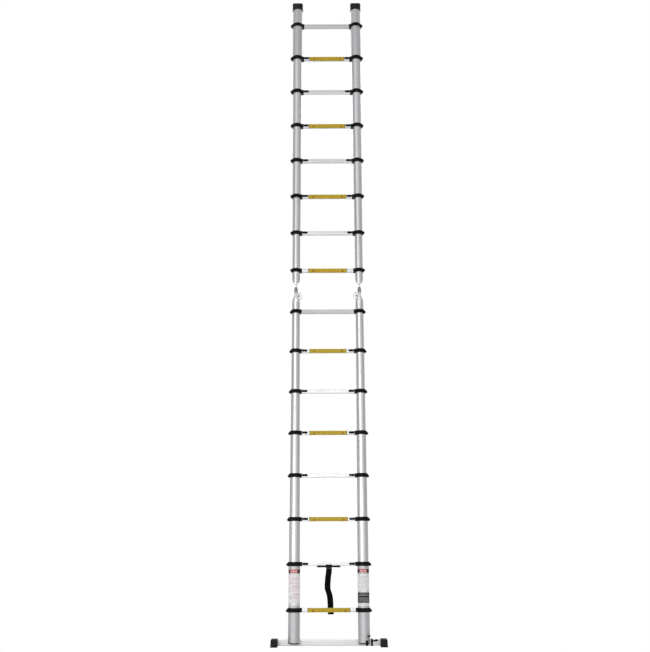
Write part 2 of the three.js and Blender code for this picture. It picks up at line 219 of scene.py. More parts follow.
def circle(radius, cx=0.0, cy=0.0, count=32):
    turns = [2 * math.pi * i / count for i in range(count)]
    return [(cx + radius * math.cos(a), cy + radius * math.sin(a)) for a in turns]


def arc_points(cx, cy, radius, start, end, steps=6):
    turns = [math.radians(start + (end - start) * i / steps) for i in range(steps + 1)]
    return [(cx + radius * math.cos(a), cy + radius * math.sin(a)) for a in turns]


def block(x0, x1, y0, y1):
    return [(x0, y0), (x1, y0), (x1, y1), (x0, y1)]


def rounded_block(x0, x1, y0, y1, corner, steps=6):
    points = []
    for i, (x, y) in enumerate(((x1 - corner, y1 - corner), (x0 + corner, y1 - corner),
                                (x0 + corner, y0 + corner), (x1 - corner, y0 + corner))):
        points += arc_points(x, y, corner, 90 * i, 90 * i + 90, steps)
    return points


def lathe(name, profile, cx, cy, count=ROUND):
    """A closed (radius, z) profile turned about the vertical axis through (cx, cy)."""
    rings = [[(cx + r * c, cy + r * s, z) for r, z in profile] for c, s in circle(1, count=count)]
    return skin(name, rings, closed=True)


def along_x(name, line, y, z):
    """A turned piece about an axis along x, from its (x, radius) line."""
    return skin(name, [[(x, y + r * c, z + r * s) for c, s in circle(1)] for x, r in line])


def wire_loop(name, path, radius):
    """A round wire along a closed path of points, which lies flat across y."""
    rings = []
    for i, p in enumerate(path):
        along = (Vector(path[(i + 1) % len(path)]) - Vector(path[i - 1])).normalized()
        across = along.cross(Vector((0, 1, 0))).normalized()
        up = across.cross(along)
        rings.append([Vector(p) + radius * (across * x + up * y) for x, y in circle(1, count=12)])
    return skin(name, rings, closed=True)


def softened(obj, width, segments=3, angle=30):
    """Rounds every edge that is sharper than the angle."""
    bm = bmesh.new()
    bm.from_mesh(obj.data)
    bmesh.ops.dissolve_limit(bm, angle_limit=math.radians(1), verts=bm.verts, edges=bm.edges)
    limit = math.radians(angle)
    edges = [e for e in bm.edges if len(e.link_faces) == 2 and e.calc_face_angle() > limit]
    bmesh.ops.bevel(bm, geom=edges, offset=width, segments=segments, profile=0.5,
                    affect="EDGES", clamp_overlap=True)
    bm.to_mesh(obj.data)
    bm.free()
    return finished(obj)


def combined(obj, operation, *others):
    """The boolean of obj with each other piece in turn, which is used up."""
    for other in others:
        cut = obj.modifiers.new("cut", "BOOLEAN")
        cut.operation = operation
        cut.solver = "EXACT"
        cut.object = other
        depsgraph = bpy.context.evaluated_depsgraph_get()
        mesh = bpy.data.meshes.new_from_object(obj.evaluated_get(depsgraph))
        obj.modifiers.clear()
        obj.data = mesh
        bpy.data.objects.remove(other)
    return finished(obj)


def moved(obj, x=0.0, y=0.0, z=0.0):
    obj.data.transform(Matrix.Translation((x, y, z)))
    return obj


def copied(obj, name, side, x=0.0, y=0.0, z=0.0):
    """A copy of a piece drawn on the right, mirrored for the left and set in its place."""
    mesh = obj.data.copy()
    mesh.transform(Matrix.Translation((x, y, z)))
    if side == "left":
        mesh.transform(Matrix.Diagonal((-1, 1, 1, 1)))
        mesh.flip_normals()
    return linked(name, mesh)


def discard(obj):
    bpy.data.objects.remove(obj)


def fit(obj, body, material, slot, *nodes):
    """Gives a finished piece its material and body, and hides the CAD nodes it stands for; the slot is not
    used.
    """
    obj.data.materials.clear()
    obj.data.materials.append(material)
    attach(obj, body)
    if nodes:
        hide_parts(*nodes)


# ---- material tools ----
COLOURS = {m["slot"]: m["base_color"] for m in frame["record"]["materials"]}


class Nodes:
    """A material's node tree, with short names for the nodes that most materials use."""

    def __init__(self, name, colour, metallic=0.0, roughness=0.5):
        self.material = bpy.data.materials.new(name)
        self.material.use_nodes = True
        self.tree = self.material.node_tree
        self.shader = self.tree.nodes["Principled BSDF"]
        self.shader.inputs["Base Color"].default_value = (*colour[:3], 1)
        self.shader.inputs["Metallic"].default_value = metallic
        self.shader.inputs["Roughness"].default_value = roughness
        self.place = self.add("ShaderNodeTexCoord").outputs["Object"]
        self.normal = None

    def add(self, kind, **settings):
        node = self.tree.nodes.new(kind)
        for key, value in settings.items():
            setattr(node, key, value)
        return node

    def link(self, source, target):
        self.tree.links.new(source, target)

    def stretched(self, x, y, z):
        node = self.add("ShaderNodeMapping")
        node.inputs["Scale"].default_value = (x, y, z)
        self.link(self.place, node.inputs["Vector"])
        return node.outputs["Vector"]

    def noise(self, scale, detail=3.0, roughness=0.5, vector=None):
        node = self.add("ShaderNodeTexNoise")
        node.inputs["Scale"].default_value = scale
        node.inputs["Detail"].default_value = detail
        node.inputs["Roughness"].default_value = roughness
        self.link(vector or self.place, node.inputs["Vector"])
        return node.outputs["Fac"]

    def spread(self, source, low, high, start=0.0, end=1.0):
        """A value between start and end, spread over low to high."""
        node = self.add("ShaderNodeMapRange")
        for key, value in (("From Min", start), ("From Max", end), ("To Min", low), ("To Max", high)):
            node.inputs[key].default_value = value
        self.link(source, node.inputs["Value"])
        return node.outputs["Result"]

    def maths(self, operation, a, b=0.0):
        node = self.add("ShaderNodeMath", operation=operation)
        for socket, value in zip(node.inputs, (a, b)):
            if isinstance(value, (int, float)):
                socket.default_value = value
            else:
                self.link(value, socket)
        return node.outputs["Value"]

    def mixed(self, factor, a, b):
        """Colour a where the factor is 0, and b where it is 1."""
        node = self.add("ShaderNodeMix", data_type="RGBA")
        for socket, value in ((node.inputs[0], factor), (node.inputs[6], a), (node.inputs[7], b)):
            if isinstance(value, (int, float)):
                socket.default_value = value
            elif isinstance(value, (tuple, list)):
                socket.default_value = (*value[:3], 1)
            else:
                self.link(value, socket)
        return node.outputs[2]

    def colour(self, source):
        self.link(source, self.shader.inputs["Base Color"])

    def roughness(self, source):
        self.link(source, self.shader.inputs["Roughness"])

    def bump(self, height, distance):
        """Adds to the bump; each call builds on the one before."""
        node = self.add("ShaderNodeBump")
        node.inputs["Distance"].default_value = distance
        self.link(height, node.inputs["Height"])
        if self.normal:
            self.link(self.normal, node.inputs["Normal"])
        self.normal = node.outputs["Normal"]
        self.link(self.normal, self.shader.inputs["Normal"])


def shade(colour, factor):
    return tuple(c * factor for c in colour[:3])


def drawn_metal(name, slot, along, rough_low, rough_high, tint=1.0):
    """Extruded aluminium: fine draw lines along one axis, faint stains, and a few handling marks."""
    colour = shade(COLOURS[slot], tint)
    n = Nodes(name, colour, metallic=1.0)
    fine = {"x": (8, 1400, 1400), "z": (1400, 1400, 8)}[along]
    coarse = {"x": (2, 260, 260), "z": (260, 260, 2)}[along]
    lines = n.noise(1.0, 4.0, 0.7, n.stretched(*fine))
    bands = n.noise(1.0, 2.0, 0.5, n.stretched(*coarse))
    stains = n.noise(9.0, 5.0, 0.6)
    marks = n.spread(n.noise(60.0, 6.0, 0.75), 0.0, 1.0, 0.60, 0.74)
    tone = n.mixed(n.spread(bands, 0.0, 1.0, 0.3, 0.7), shade(colour, 0.93), shade(colour, 1.04))
    tone = n.mixed(n.maths("MULTIPLY", marks, 0.35), tone, shade(colour, 0.7))
    n.colour(tone)
    base = n.spread(stains, rough_low, rough_high, 0.3, 0.7)
    n.roughness(n.maths("ADD", base, n.spread(lines, -0.04, 0.05)))
    n.bump(lines, 0.00002)
    n.bump(bands, 0.00004)
    return n.material


def moulded(name, slot, rough, grain_scale=1500.0, grain=0.00006, wear=0.3, gloss=0.1):
    """Moulded nylon or rubber: spark grain, uneven sheen, and paler rubbed patches."""
    colour = COLOURS[slot]
    n = Nodes(name, colour)
    n.shader.inputs["Specular IOR Level"].default_value = gloss
    grain_noise = n.noise(grain_scale, 2.0, 0.6)
    flow = n.noise(35.0, 4.0, 0.55)
    rubbed = n.spread(n.noise(22.0, 6.0, 0.7), 0.0, 1.0, 0.52, 0.78)
    tone = n.mixed(n.spread(flow, 0.0, 1.0, 0.35, 0.65), shade(colour, 0.4), shade(colour, 0.9))
    tone = n.mixed(n.maths("MULTIPLY", rubbed, wear), tone, shade(colour, 2.5))
    n.colour(tone)
    n.roughness(n.maths("ADD", n.spread(flow, rough - 0.06, rough + 0.08, 0.35, 0.65),
                        n.spread(grain_noise, -0.05, 0.05)))
    n.bump(grain_noise, grain)
    n.bump(flow, grain * 4)
    return n.material


def cast_metal(name, slot, rough, tint):
    """Die-cast aluminium: blasted skin, soft flow marks, and brighter handled areas."""
    colour = shade(COLOURS[slot], tint)
    n = Nodes(name, colour, metallic=1.0)
    skin_noise = n.noise(900.0, 3.0, 0.6)
    flow = n.noise(28.0, 4.0, 0.5)
    n.colour(n.mixed(n.spread(flow, 0.0, 1.0, 0.3, 0.7), shade(colour, 0.86), shade(colour, 1.08)))
    n.roughness(n.maths("ADD", n.spread(flow, rough - 0.08, rough + 0.08, 0.3, 0.7),
                        n.spread(skin_noise, -0.05, 0.05)))
    n.bump(skin_noise, 0.00008)
    n.bump(flow, 0.0003)
    return n.material


def plated_metal(name, slot, tint):
    """Zinc-plated steel: small crystals of tone, and turned lines too fine to see singly."""
    colour = shade(COLOURS[slot], tint)
    n = Nodes(name, colour, metallic=1.0)
    cells = n.add("ShaderNodeTexVoronoi")
    cells.inputs["Scale"].default_value = 420.0
    n.link(n.place, cells.inputs["Vector"])
    tone = n.spread(cells.outputs["Distance"], 0.0, 1.0, 0.0, 0.7)
    n.colour(n.mixed(tone, shade(colour, 0.88), shade(colour, 1.12)))
    n.roughness(n.spread(n.noise(140.0, 4.0, 0.6), 0.22, 0.38, 0.3, 0.7))
    n.bump(n.noise(1200.0, 2.0, 0.5), 0.00003)
    return n.material


class Print(Nodes):
    """Printed vinyl, drawn in the label's own flat map: u from 0 to 1 across it, and v up it."""

    def __init__(self, name, slot):
        super().__init__(name, COLOURS[slot])
        split = self.add("ShaderNodeSeparateXYZ")
        self.link(self.add("ShaderNodeUVMap", uv_map="print").outputs["UV"], split.inputs[0])
        self.u = split.outputs["X"]
        self.v = split.outputs["Y"]
        self.ink = COLOURS[slot]
        self.shader.inputs["Specular IOR Level"].default_value = 0.2
        self.shader.inputs["Coat Weight"].default_value = 0.04
        self.shader.inputs["Coat Roughness"].default_value = 0.25

    def between(self, value, low, high):
        above = self.maths("GREATER_THAN", value, low)
        return self.maths("MULTIPLY", above, self.maths("LESS_THAN", value, high))

    def box(self, u0, u1, v0, v1):
        return self.maths("MULTIPLY", self.between(self.u, u0, u1), self.between(self.v, v0, v1))

    def disc(self, u, v, radius, aspect):
        """A round dot: aspect is the label's width over its height."""
        du = self.maths("MULTIPLY", self.maths("SUBTRACT", self.u, u), aspect)
        dv = self.maths("SUBTRACT", self.v, v)
        square = self.maths("ADD", self.maths("POWER", du, 2.0), self.maths("POWER", dv, 2.0))
        return self.maths("LESS_THAN", square, radius * radius)

    def rows(self, value, count, share):
        """Evenly repeated rules: 1 on the given share of each of count steps."""
        phase = self.maths("FRACT", self.maths("MULTIPLY", value, float(count)))
        return self.maths("LESS_THAN", phase, share)

    def paint(self, mask, colour, strength=1.0):
        self.ink = self.mixed(self.maths("MULTIPLY", mask, strength), self.ink, colour)

    def done(self):
        """Scuffs and small creases over the print."""
        scuff = self.spread(self.noise(90.0, 6.0, 0.75), 0.0, 1.0, 0.58, 0.72)
        self.ink = self.mixed(self.maths("MULTIPLY", scuff, 0.08), self.ink, (0.55, 0.53, 0.48))
        self.colour(self.ink)
        self.roughness(self.spread(self.noise(30.0, 4.0, 0.6), 0.26, 0.46, 0.3, 0.7))
        self.bump(self.noise(45.0, 3.0, 0.5), 0.00012)
        self.bump(self.noise(900.0, 2.0, 0.5), 0.00001)
        return self.material


INK = (0.012, 0.010, 0.010)
YELLOW = tuple(c * k for c, k in zip(COLOURS["label_yellow"], (1.0, 0.98, 0.6)))
BROWN = (0.30, 0.13, 0.01)
OLIVE = (0.26, 0.22, 0.05)
PALE = (0.80, 0.74, 0.74)


def yellow_print():
    """A rung's grip label: a plain field, a round sign near each end, and rows of short rules."""
    n = Print("vinyl_yellow", "label_yellow")
    n.ink = YELLOW
    for u0, u1 in ((0.0, 0.028), (0.972, 1.0)):
        n.paint(n.box(u0, u1, 0.0, 1.0), OLIVE, 0.8)
    for low, high in ((0.20, 0.44), (0.56, 0.80)):
        rules = n.maths("MULTIPLY", n.box(low, high, 0.25, 0.75), n.rows(n.v, 5, 0.45))
        words = n.maths("GREATER_THAN", n.noise(70.0, 1.0, 0.5), 0.45)
        n.paint(n.maths("MULTIPLY", rules, words), BROWN, 0.35)
    for u in (0.135, 0.885):
        n.paint(n.disc(u, 0.52, 0.24, 7.5), BROWN, 0.75)
    for v0, v1 in ((0.0, 0.05), (0.95, 1.0)):
        n.paint(n.box(0.0, 1.0, v0, v1), OLIVE, 0.4)
    return n.done()


def header_print():
    """A rail label's head: a red panel with pale strokes where words would be, and dark ends."""
    n = Print("vinyl_header", "label_red")
    n.paint(n.maths("MULTIPLY", n.box(0.27, 0.73, 0.26, 0.74), n.rows(n.u, 22, 0.58)), PALE, 0.85)
    n.paint(n.box(0.27, 0.73, 0.0, 0.07), PALE, 0.7)
    for low, high in ((0.0, 0.25), (0.70, 1.0)):
        n.paint(n.box(low, high, 0.0, 1.0), INK, 0.95)
    return n.done()


def panel_print(name, tone):
    """A rail label's panel: three small signs, ruled paragraphs of different lengths, a foot line."""
    n = Print(name, "label_white")
    grey = (0.20, 0.18, 0.19)
    words = n.maths("GREATER_THAN", n.noise(260.0, 1.0, 0.5), 0.46)
    paragraphs = ((0.80, 0.90, 0.18, 0.80), (0.69, 0.74, 0.16, 0.82), (0.54, 0.66, 0.38, 0.82),
                  (0.54, 0.60, 0.16, 0.34), (0.44, 0.50, 0.16, 0.80), (0.33, 0.40, 0.36, 0.82),
                  (0.20, 0.29, 0.18, 0.76), (0.11, 0.15, 0.24, 0.80))
    for low, high, left, right in paragraphs:
        rules = n.maths("MULTIPLY", n.box(left, right, low, high), n.rows(n.v, 74, 0.55))
        n.paint(n.maths("MULTIPLY", rules, words), tone, 0.75)
    for v in (0.765, 0.515, 0.305):
        n.paint(n.box(0.16, 0.82, v, v + 0.008), tone, 0.8)
    for u in (0.22, 0.48, 0.76):
        n.paint(n.disc(u, 0.945, 0.017, 0.42), grey, 0.8)
    for u0, u1 in ((0.16, 0.34), (0.68, 0.84)):
        n.paint(n.box(u0, u1, 0.03, 0.065), grey, 0.75)
    return n.done()


def plate_print():
    """The right rail's data plate: two dark bosses beside a grey head, a line, a block of text."""
    n = Print("vinyl_plate", "label_black")
    n.paint(n.box(0.24, 0.76, 0.80, 0.98), (0.13, 0.12, 0.125), 0.9)
    n.paint(n.box(0.10, 0.90, 0.71, 0.77), PALE, 0.5)
    field = n.box(0.16, 0.86, 0.10, 0.56)
    text = n.maths("MULTIPLY", field, n.rows(n.v, 20, 0.55))
    words = n.maths("GREATER_THAN", n.noise(260.0, 1.0, 0.5), 0.42)
    n.paint(field, (0.07, 0.065, 0.068), 0.9)
    n.paint(n.maths("MULTIPLY", text, words), (0.36, 0.34, 0.35), 0.7)
    return n.done()


def webbing_material():
    """Black polyester webbing: a twill of yarns from its own map, fuzzy and dull."""
    colour = COLOURS["webbing"]
    n = Nodes("webbing", colour, roughness=0.85)
    place = n.add("ShaderNodeUVMap", uv_map="print").outputs["UV"]
    split = n.add("ShaderNodeSeparateXYZ")
    n.link(place, split.inputs[0])
    across = n.maths("MULTIPLY", split.outputs["X"], 24.0)
    along = n.maths("MULTIPLY", split.outputs["Y"], 190.0)
    twill = n.maths("ADD", across, along)
    yarn = n.maths("ABSOLUTE", n.maths("SINE", n.maths("MULTIPLY", twill, math.pi)))
    warp = n.maths("ABSOLUTE", n.maths("SINE", n.maths("MULTIPLY", across, math.pi)))
    height = n.maths("MULTIPLY", yarn, warp)
    fuzz = n.noise(2600.0, 3.0, 0.7)
    n.colour(n.mixed(n.maths("MULTIPLY", height, n.spread(fuzz, 0.5, 1.2)), shade(colour, 0.45),
                     shade(colour, 1.5)))
    n.shader.inputs["Specular IOR Level"].default_value = 0.05
    n.shader.inputs["Sheen Weight"].default_value = 0.01
    n.shader.inputs["Sheen Roughness"].default_value = 0.5
    n.bump(height, 0.0005)
    n.bump(fuzz, 0.0001)
    return n.material


# The satin tubes are rougher, and their tint of 0.85 is painted shade.
SATIN_SHADED = drawn_metal("tube_satin_shaded", "tube", "z", 0.46, 0.60, 0.85)
BRIGHT = drawn_metal("tube_bright", "tube", "z", 0.26, 0.38)
RUNG_METAL = drawn_metal("rung_metal", "rung", "x", 0.34, 0.48)
# Rungs 8 and 16 are rougher, and their tints of 0.78 and 0.88 are painted shade.
DULL_SHADED_RUNG_METAL = drawn_metal("rung_metal_dull_shaded", "rung", "x", 0.50, 0.62, 0.78)
TOP_SHADED_RUNG_METAL = drawn_metal("rung_metal_top_shaded", "rung", "x", 0.42, 0.55, 0.88)
BAR_METAL = drawn_metal("bar_metal", "bar", "x", 0.34, 0.46)
NYLON = moulded("nylon", "collar", 0.42)
LATCH_NYLON = moulded("latch_nylon", "latch", 0.48)
CLAMP_NYLON = moulded("clamp_nylon", "clamp", 0.46)
HANDLE_PLASTIC = moulded("handle_plastic", "handle", 0.40)
CAP_RUBBER = moulded("cap_rubber", "cap_rubber", 0.62, 800.0, 0.0001, 0.7, 0.3)
FOOT_RUBBER = moulded("foot_rubber", "foot_rubber", 0.6, 700.0, 0.0001, 0.6, 0.3)
CASTING = cast_metal("casting", "hinge", 0.32, 1.2)
# The block round the hinge's web is darkened with painted shade.
SHADED_CASTING = cast_metal("casting_painted_shade", "hinge_dark", 0.5, 1.5)
PLATED = plated_metal("plated_steel", "steel", 1.0)
# The lock knob's steel, darkened to 0.35, is painted shadow round the pin.
SHADED_PLATED = plated_metal("plated_steel_painted_shade", "steel", 0.35)
WEBBING = webbing_material()


# ---- tubes ----
def slanted_end(r, x):
    """The cutters for the tubes over the hinges: pointed from the front, and slanting up to the rear."""
    past = 5 * MM
    reach = r + past
    rise = past * CUT_RISE / (2 * r)
    flank = [(0, -reach), (0, 0), (0.35 * r, 4.5 * MM), (0.65 * r, 12.5 * MM), (0.85 * r, 25 * MM),
             (r, 43 * MM), (reach, 45 * MM), (reach, -reach)]
    cutters = []
    for sign in (-1, 1):
        outline = [(x + sign * a, UPPER_CUT + b) for a, b in flank]
        cutters.append(prism("cut", outline, RAIL_Y - reach, RAIL_Y, "y"))
    wedge = [(RAIL_Y - reach, UPPER_CUT - reach), (RAIL_Y + reach, UPPER_CUT - reach),
             (RAIL_Y + reach, UPPER_CUT + CUT_RISE + rise), (RAIL_Y - reach, UPPER_CUT - rise)]
    cutters.append(prism("cut", wedge, x - reach, x + reach, "x"))
    return cutters


def tube(n, side):
    """One telescoping tube of the section that carries rung n, with rounded lips."""
    r = tube_r(n)
    inner = r - WALL
    lip = 0.4 * MM
    if n == 1:
        low, high = BASE_FOOT, rung_z(2) + TUBE_END
    elif n == 16:
        low, high = rung_z(15) - TUBE_END, TOP - CAP_ROOF - GAP
    elif n <= 8:
        low, high = rung_z(n - 1) - OVERLAP, LOWER_SEAT if n == 8 else rung_z(n) + TUBE_END
    else:
        low, high = UPPER_CUT if n == 9 else rung_z(n) - TUBE_END, rung_z(n + 1) + OVERLAP
    profile = [(inner, low), (r - lip, low), (r, low + lip)]
    profile += [(r, high - lip), (r - lip, high), (inner, high)]
    name = f"rail_tube_{n}_{side}"
    x = RAIL_X * SIDES[side]
    made = lathe(name, profile, x, RAIL_Y)
    if n == 9:
        made = combined(made, "DIFFERENCE", *slanted_end(r, x))
    node = {1: f"base_tube_{side}", 16: f"top_tube_{side}"}.get(n, node_of_rung(n))
    # The base and top tubes take the satin metal, darkened with painted shade.
    material = SATIN_SHADED if n in (1, 16) else BRIGHT
    fit(made, body_of_rung(n), material, "tube", node)


# ---- collars ----
def ray_exit(dx, dy, outline):
    """How far a ray from the origin travels inside a convex outline round it."""
    best = 0.0
    for (ax, ay), (bx, by) in zip(outline, outline[1:] + outline[:1]):
        ex, ey = bx - ax, by - ay
        det = dx * ey - dy * ex
        if abs(det) < 1e-12:
            continue
        t = (ax * ey - ay * ex) / det
        s = (ax * dy - ay * dx) / det
        if t > 0 and -1e-9 <= s <= 1 + 1e-9:
            best = max(best, t)
    return best


# The outer wedge in mm: its height above the collar's middle, and its reach past the tube.
NOSE = [(-14, 7), (-9, 15), (-6.5, 16.7), (-4, 17), (-1, 16), (9, 7), (14, 3)]

# The collar's rings in mm: the height above its middle, and how far in the edge or the groove goes.
COLLAR_LEVELS = [(-14, 1.5), (-13.6, 0.7), (-12.9, 0.2), (-12, 0), (-9, 0), (-6.5, 0), (-4, 0), (-1, 0),
                 (1.5, 0), (2.0, 0.9), (3.6, 0.9), (4.1, 0), (9, 0), (11, 0), (12, 0), (12.9, 0.2),
                 (13.6, 0.7), (14, 1.5)]


def nose_reach(r, h):
    """How far the outer wedge reaches at a height of h mm above the collar's middle."""
    for (a, low), (b, high) in zip(NOSE, NOSE[1:]):
        if h <= b:
            return r + (low + (high - low) * (h - a) / (b - a)) * MM


def collar(n, side):
    """Nylon collar: a ring with a tapered outer wedge, a block for the rung, and a fine groove.

    It is drawn for the lower half, with the tube's open end upwards, and turned over for the upper.
    """
    r = tube_r(n)
    over = r + COLLAR_RING
    half = RUNG_DEEP / 2 + 3 * MM
    seat = block(-r - COLLAR_BLOCK, 0.3 * r, -half, half)
    half_step = 180 / COLLAR_SIDES
    turns = arc_points(0, 0, 1, half_step, 360 - half_step, COLLAR_SIDES - 1)
    rings = []
    for h, inset in COLLAR_LEVELS:
        reach = nose_reach(r, h)
        nose = [(-0.3 * r, -over), (0.62 * over, -0.78 * over), (reach, -11 * MM), (reach, 11 * MM),
                (0.62 * over, 0.78 * over), (-0.3 * r, over)]
        radii = [max(over, ray_exit(c, s, seat), ray_exit(c, s, nose) if c > 0.35 else 0) for c, s in turns]
        radii = [(radii[i - 1] + 2 * q + radii[(i + 1) % COLLAR_SIDES]) / 4 for i, q in enumerate(radii)]
        radii = [q - inset * MM for q in radii]
        rings.append([(q * c, q * s, h * MM) for q, (c, s) in zip(radii, turns)])
    bore = r + 0.05 * MM
    lip = r - 0.9 * MM if n in LATCHED else bore
    for h, q in ((14, lip), (12.3, lip), (12.2, bore), (-14, bore)):
        rings.append([(q * c, q * s, h * MM) for c, s in turns])
    made = skin(f"collar_{n}_{side}", rings, closed=True)
    made.data.transform(Matrix.Diagonal((SIDES[side], 1, 1 if n <= 8 else -1, 1)))
    moved(finished(made, 40), RAIL_X * SIDES[side], RAIL_Y, rung_z(n))
    fit(made, body_of_rung(n), NYLON, "collar", node_of_rung(n))


# ---- rungs ----
def rung_corner(index, grown=0.0):
    """A rounded corner of the rung's section as (y, z) points: 0 is top rear, and so on round."""
    corner = 3 * MM
    y, z = RUNG_DEEP / 2 - corner, RUNG_HALF - corner
    centre = ((y, z), (-y, z), (-y, -z), (y, -z))[index]
    return arc_points(*centre, corner + grown, 90 * index, 90 * index + 90)


def rung_outline():
    """Hollow extrusion with rounded corners and grooves along the tread."""
    tread = []
    for at in (9.5, 5.7, 1.9, -1.9, -5.7, -9.5):
        for dy, dz in ((1.0, 0), (0.6, -0.9), (-0.6, -0.9), (-1.0, 0)):
            tread.append(((at + dy) * MM, RUNG_HALF + dz * MM))
    return rung_corner(0) + tread + rung_corner(1) + rung_corner(2) + rung_corner(3)


def rung(n):
    r = tube_r(n)
    z = rung_z(n)
    reach = RAIL_X - r - COLLAR_BLOCK + 8 * MM
    outline = [(a + RAIL_Y, b + z) for a, b in rung_outline()]
    made = prism(f"rung_{n}", outline, -reach, reach, "x")
    y, h = RUNG_DEEP / 2 - 2 * MM, RUNG_HALF - 2.6 * MM
    hollow = [(a + RAIL_Y, b + z) for a, b in block(-y, y, -h, h)]
    cutters = [prism("hollow", hollow, -reach - MM, reach + MM, "x")]
    if n in LATCHED:
        middle_z, high = z + LATCH_LIFT, STEM_HALF + GAP
        front = RAIL_Y - RUNG_DEEP / 2
        for sign in SIDES.values():
            xs = sorted((sign * (latch_end(n) - STEM_NEAR + GAP), sign * slot_end(n)))
            slot = block(*xs, middle_z - high, middle_z + high)
            cutters.append(prism("slot", slot, front - MM, front + 3 * MM, "y"))
    made = combined(made, "DIFFERENCE", *cutters)
    # Rungs 8 and 16 take rung metal darkened with painted shade.
    material = {8: DULL_SHADED_RUNG_METAL, 16: TOP_SHADED_RUNG_METAL}.get(n, RUNG_METAL)
    fit(finished(made, 25), body_of_rung(n), material, "rung", node_of_rung(n))


# ---- latches ----
def latch_shape():
    """A thumb latch about its outer end: x towards the rail, y from the rung's face, z up."""
    high, thick = 15 * MM, 5 * MM
    tab = prism("tab", [(0, 0), (0, -3.4 * MM), (-4 * MM, -thick), (-LATCH_LONG + 7 * MM, -thick),
                        (-LATCH_LONG, -2.6 * MM), (-LATCH_LONG, 0)], -high / 2, high / 2, "z")
    for i in range(5):
        x = -12 * MM - i * 4 * MM
        groove = prism("groove", block(x, x + 1.6 * MM, -thick - MM, -thick + 0.9 * MM), -high, high, "z")
        tab = combined(tab, "DIFFERENCE", groove)
    tab = softened(tab, 0.7 * MM, 2)
    stem = prism("stem", block(-STEM_FAR, -STEM_NEAR, -STEM_HALF, STEM_HALF), -MM, 6 * MM, "y")
    return combined(tab, "UNION", stem)


def latches():
    shape = latch_shape()
    front = RAIL_Y - RUNG_DEEP / 2 - GAP
    for n in LATCHED:
        for side in SIDES:
            name = f"latch_{n}_{side}"
            made = copied(shape, f"thumb_{name}", side, latch_end(n), front, rung_z(n) + LATCH_LIFT)
            fit(finished(made), name, LATCH_NYLON, "latch", name)
    discard(shape)


# ---- printed labels ----
def mapped(obj, u_of, v_of):
    """Gives a label its own flat map from two functions of a point."""
    layer = obj.data.uv_layers.new(name="print")
    for loop in obj.data.loops:
        point = obj.data.vertices[loop.vertex_index].co
        layer.data[loop.index].uv = (u_of(point), v_of(point))
    return obj


def rung_label(n, material):
    """A grip label wrapped round the rung's front: from the tread's edge, down and under."""
    half = 145 * MM
    if n in LATCHED:
        half = 135 * MM if n < 9 else slot_end(n) - 1.2 * MM
    under = 18 * MM

    def path(grown):
        return rung_corner(1, grown) + rung_corner(2, grown) + [(under - RUNG_DEEP / 2, -RUNG_HALF - grown)]

    outer = path(0.2 * MM)
    section = path(0.02 * MM) + list(reversed(outer))
    lengths = [0.0]
    for (y0, z0), (y1, z1) in zip(outer, outer[1:]):
        lengths.append(lengths[-1] + math.hypot(y1 - y0, z1 - z0))
    made = prism(f"rung_label_{n}", [(y + RAIL_Y, z + rung_z(n)) for y, z in section], -half, half, "x")

    def along(p):
        y, z = p.y - RAIL_Y, p.z - rung_z(n)
        nearest = min(range(len(outer)), key=lambda i: math.hypot(y - outer[i][0], z - outer[i][1]))
        return 1 - lengths[nearest] / lengths[-1]

    mapped(made, lambda p: (p.x + half) / (2 * half), along)
    fit(made, body_of_rung(n), material, "label_yellow")


def rail_label(name, side, z0, z1, spread, material, slot):
    """A label wrapped round the front of a base tube, to the given angle on each side."""
    count = 40
    inner, outer = END_R + 0.02 * MM, END_R + 0.22 * MM
    x = RAIL_X * SIDES[side]
    rings = []
    for c, s in arc_points(0, 0, 1, -90 - spread, -90 + spread, count):
        rings.append([(x + r * c, RAIL_Y + r * s, z) for r, z in block(inner, outer, z0, z1)])
    made = skin(f"{name}_{side}", rings)
    turn = math.radians(spread)

    def across(p):
        return (math.atan2(p.x - x, RAIL_Y - p.y) / turn + 1) / 2

    mapped(made, across, lambda p: (p.z - z0) / (z1 - z0))
    fit(made, "base", material, slot)


def rail_labels():
    header, plate = header_print(), plate_print()
    rose_panel = panel_print("vinyl_panel_rose", (0.50, 0.22, 0.27))
    grey_panel = panel_print("vinyl_panel_grey", (0.36, 0.34, 0.35))
    rail_label("label_head", "left", 0.476, 0.499, 84, header, "label_red")
    rail_label("label_panel", "left", 0.266, 0.468, 84, rose_panel, "label_white")
    rail_label("label_head", "right", 0.478, 0.501, 84, header, "label_red")
    rail_label("label_panel", "right", 0.352, 0.468, 84, grey_panel, "label_white")
    rail_label("label_plate", "right", 0.283, 0.348, 80, plate, "label_black")
    rail_label("label_strip", "right", 0.262, 0.278, 76, rose_panel, "label_white")


# ---- hinges ----
def about_pivot(radius, start, end, step=10):
    """Points of a side view's outline (y, z) on an arc about the fold axis."""
    return arc_points(PIVOT_BACK, PIVOT_Z, radius, start, end, (end - start) // step)


def by_pivot(*points):
    """Points of a flat view, given in mm from the rail's middle and up from the fold axis."""
    return [(y * MM, PIVOT_Z + z * MM) for y, z in points]


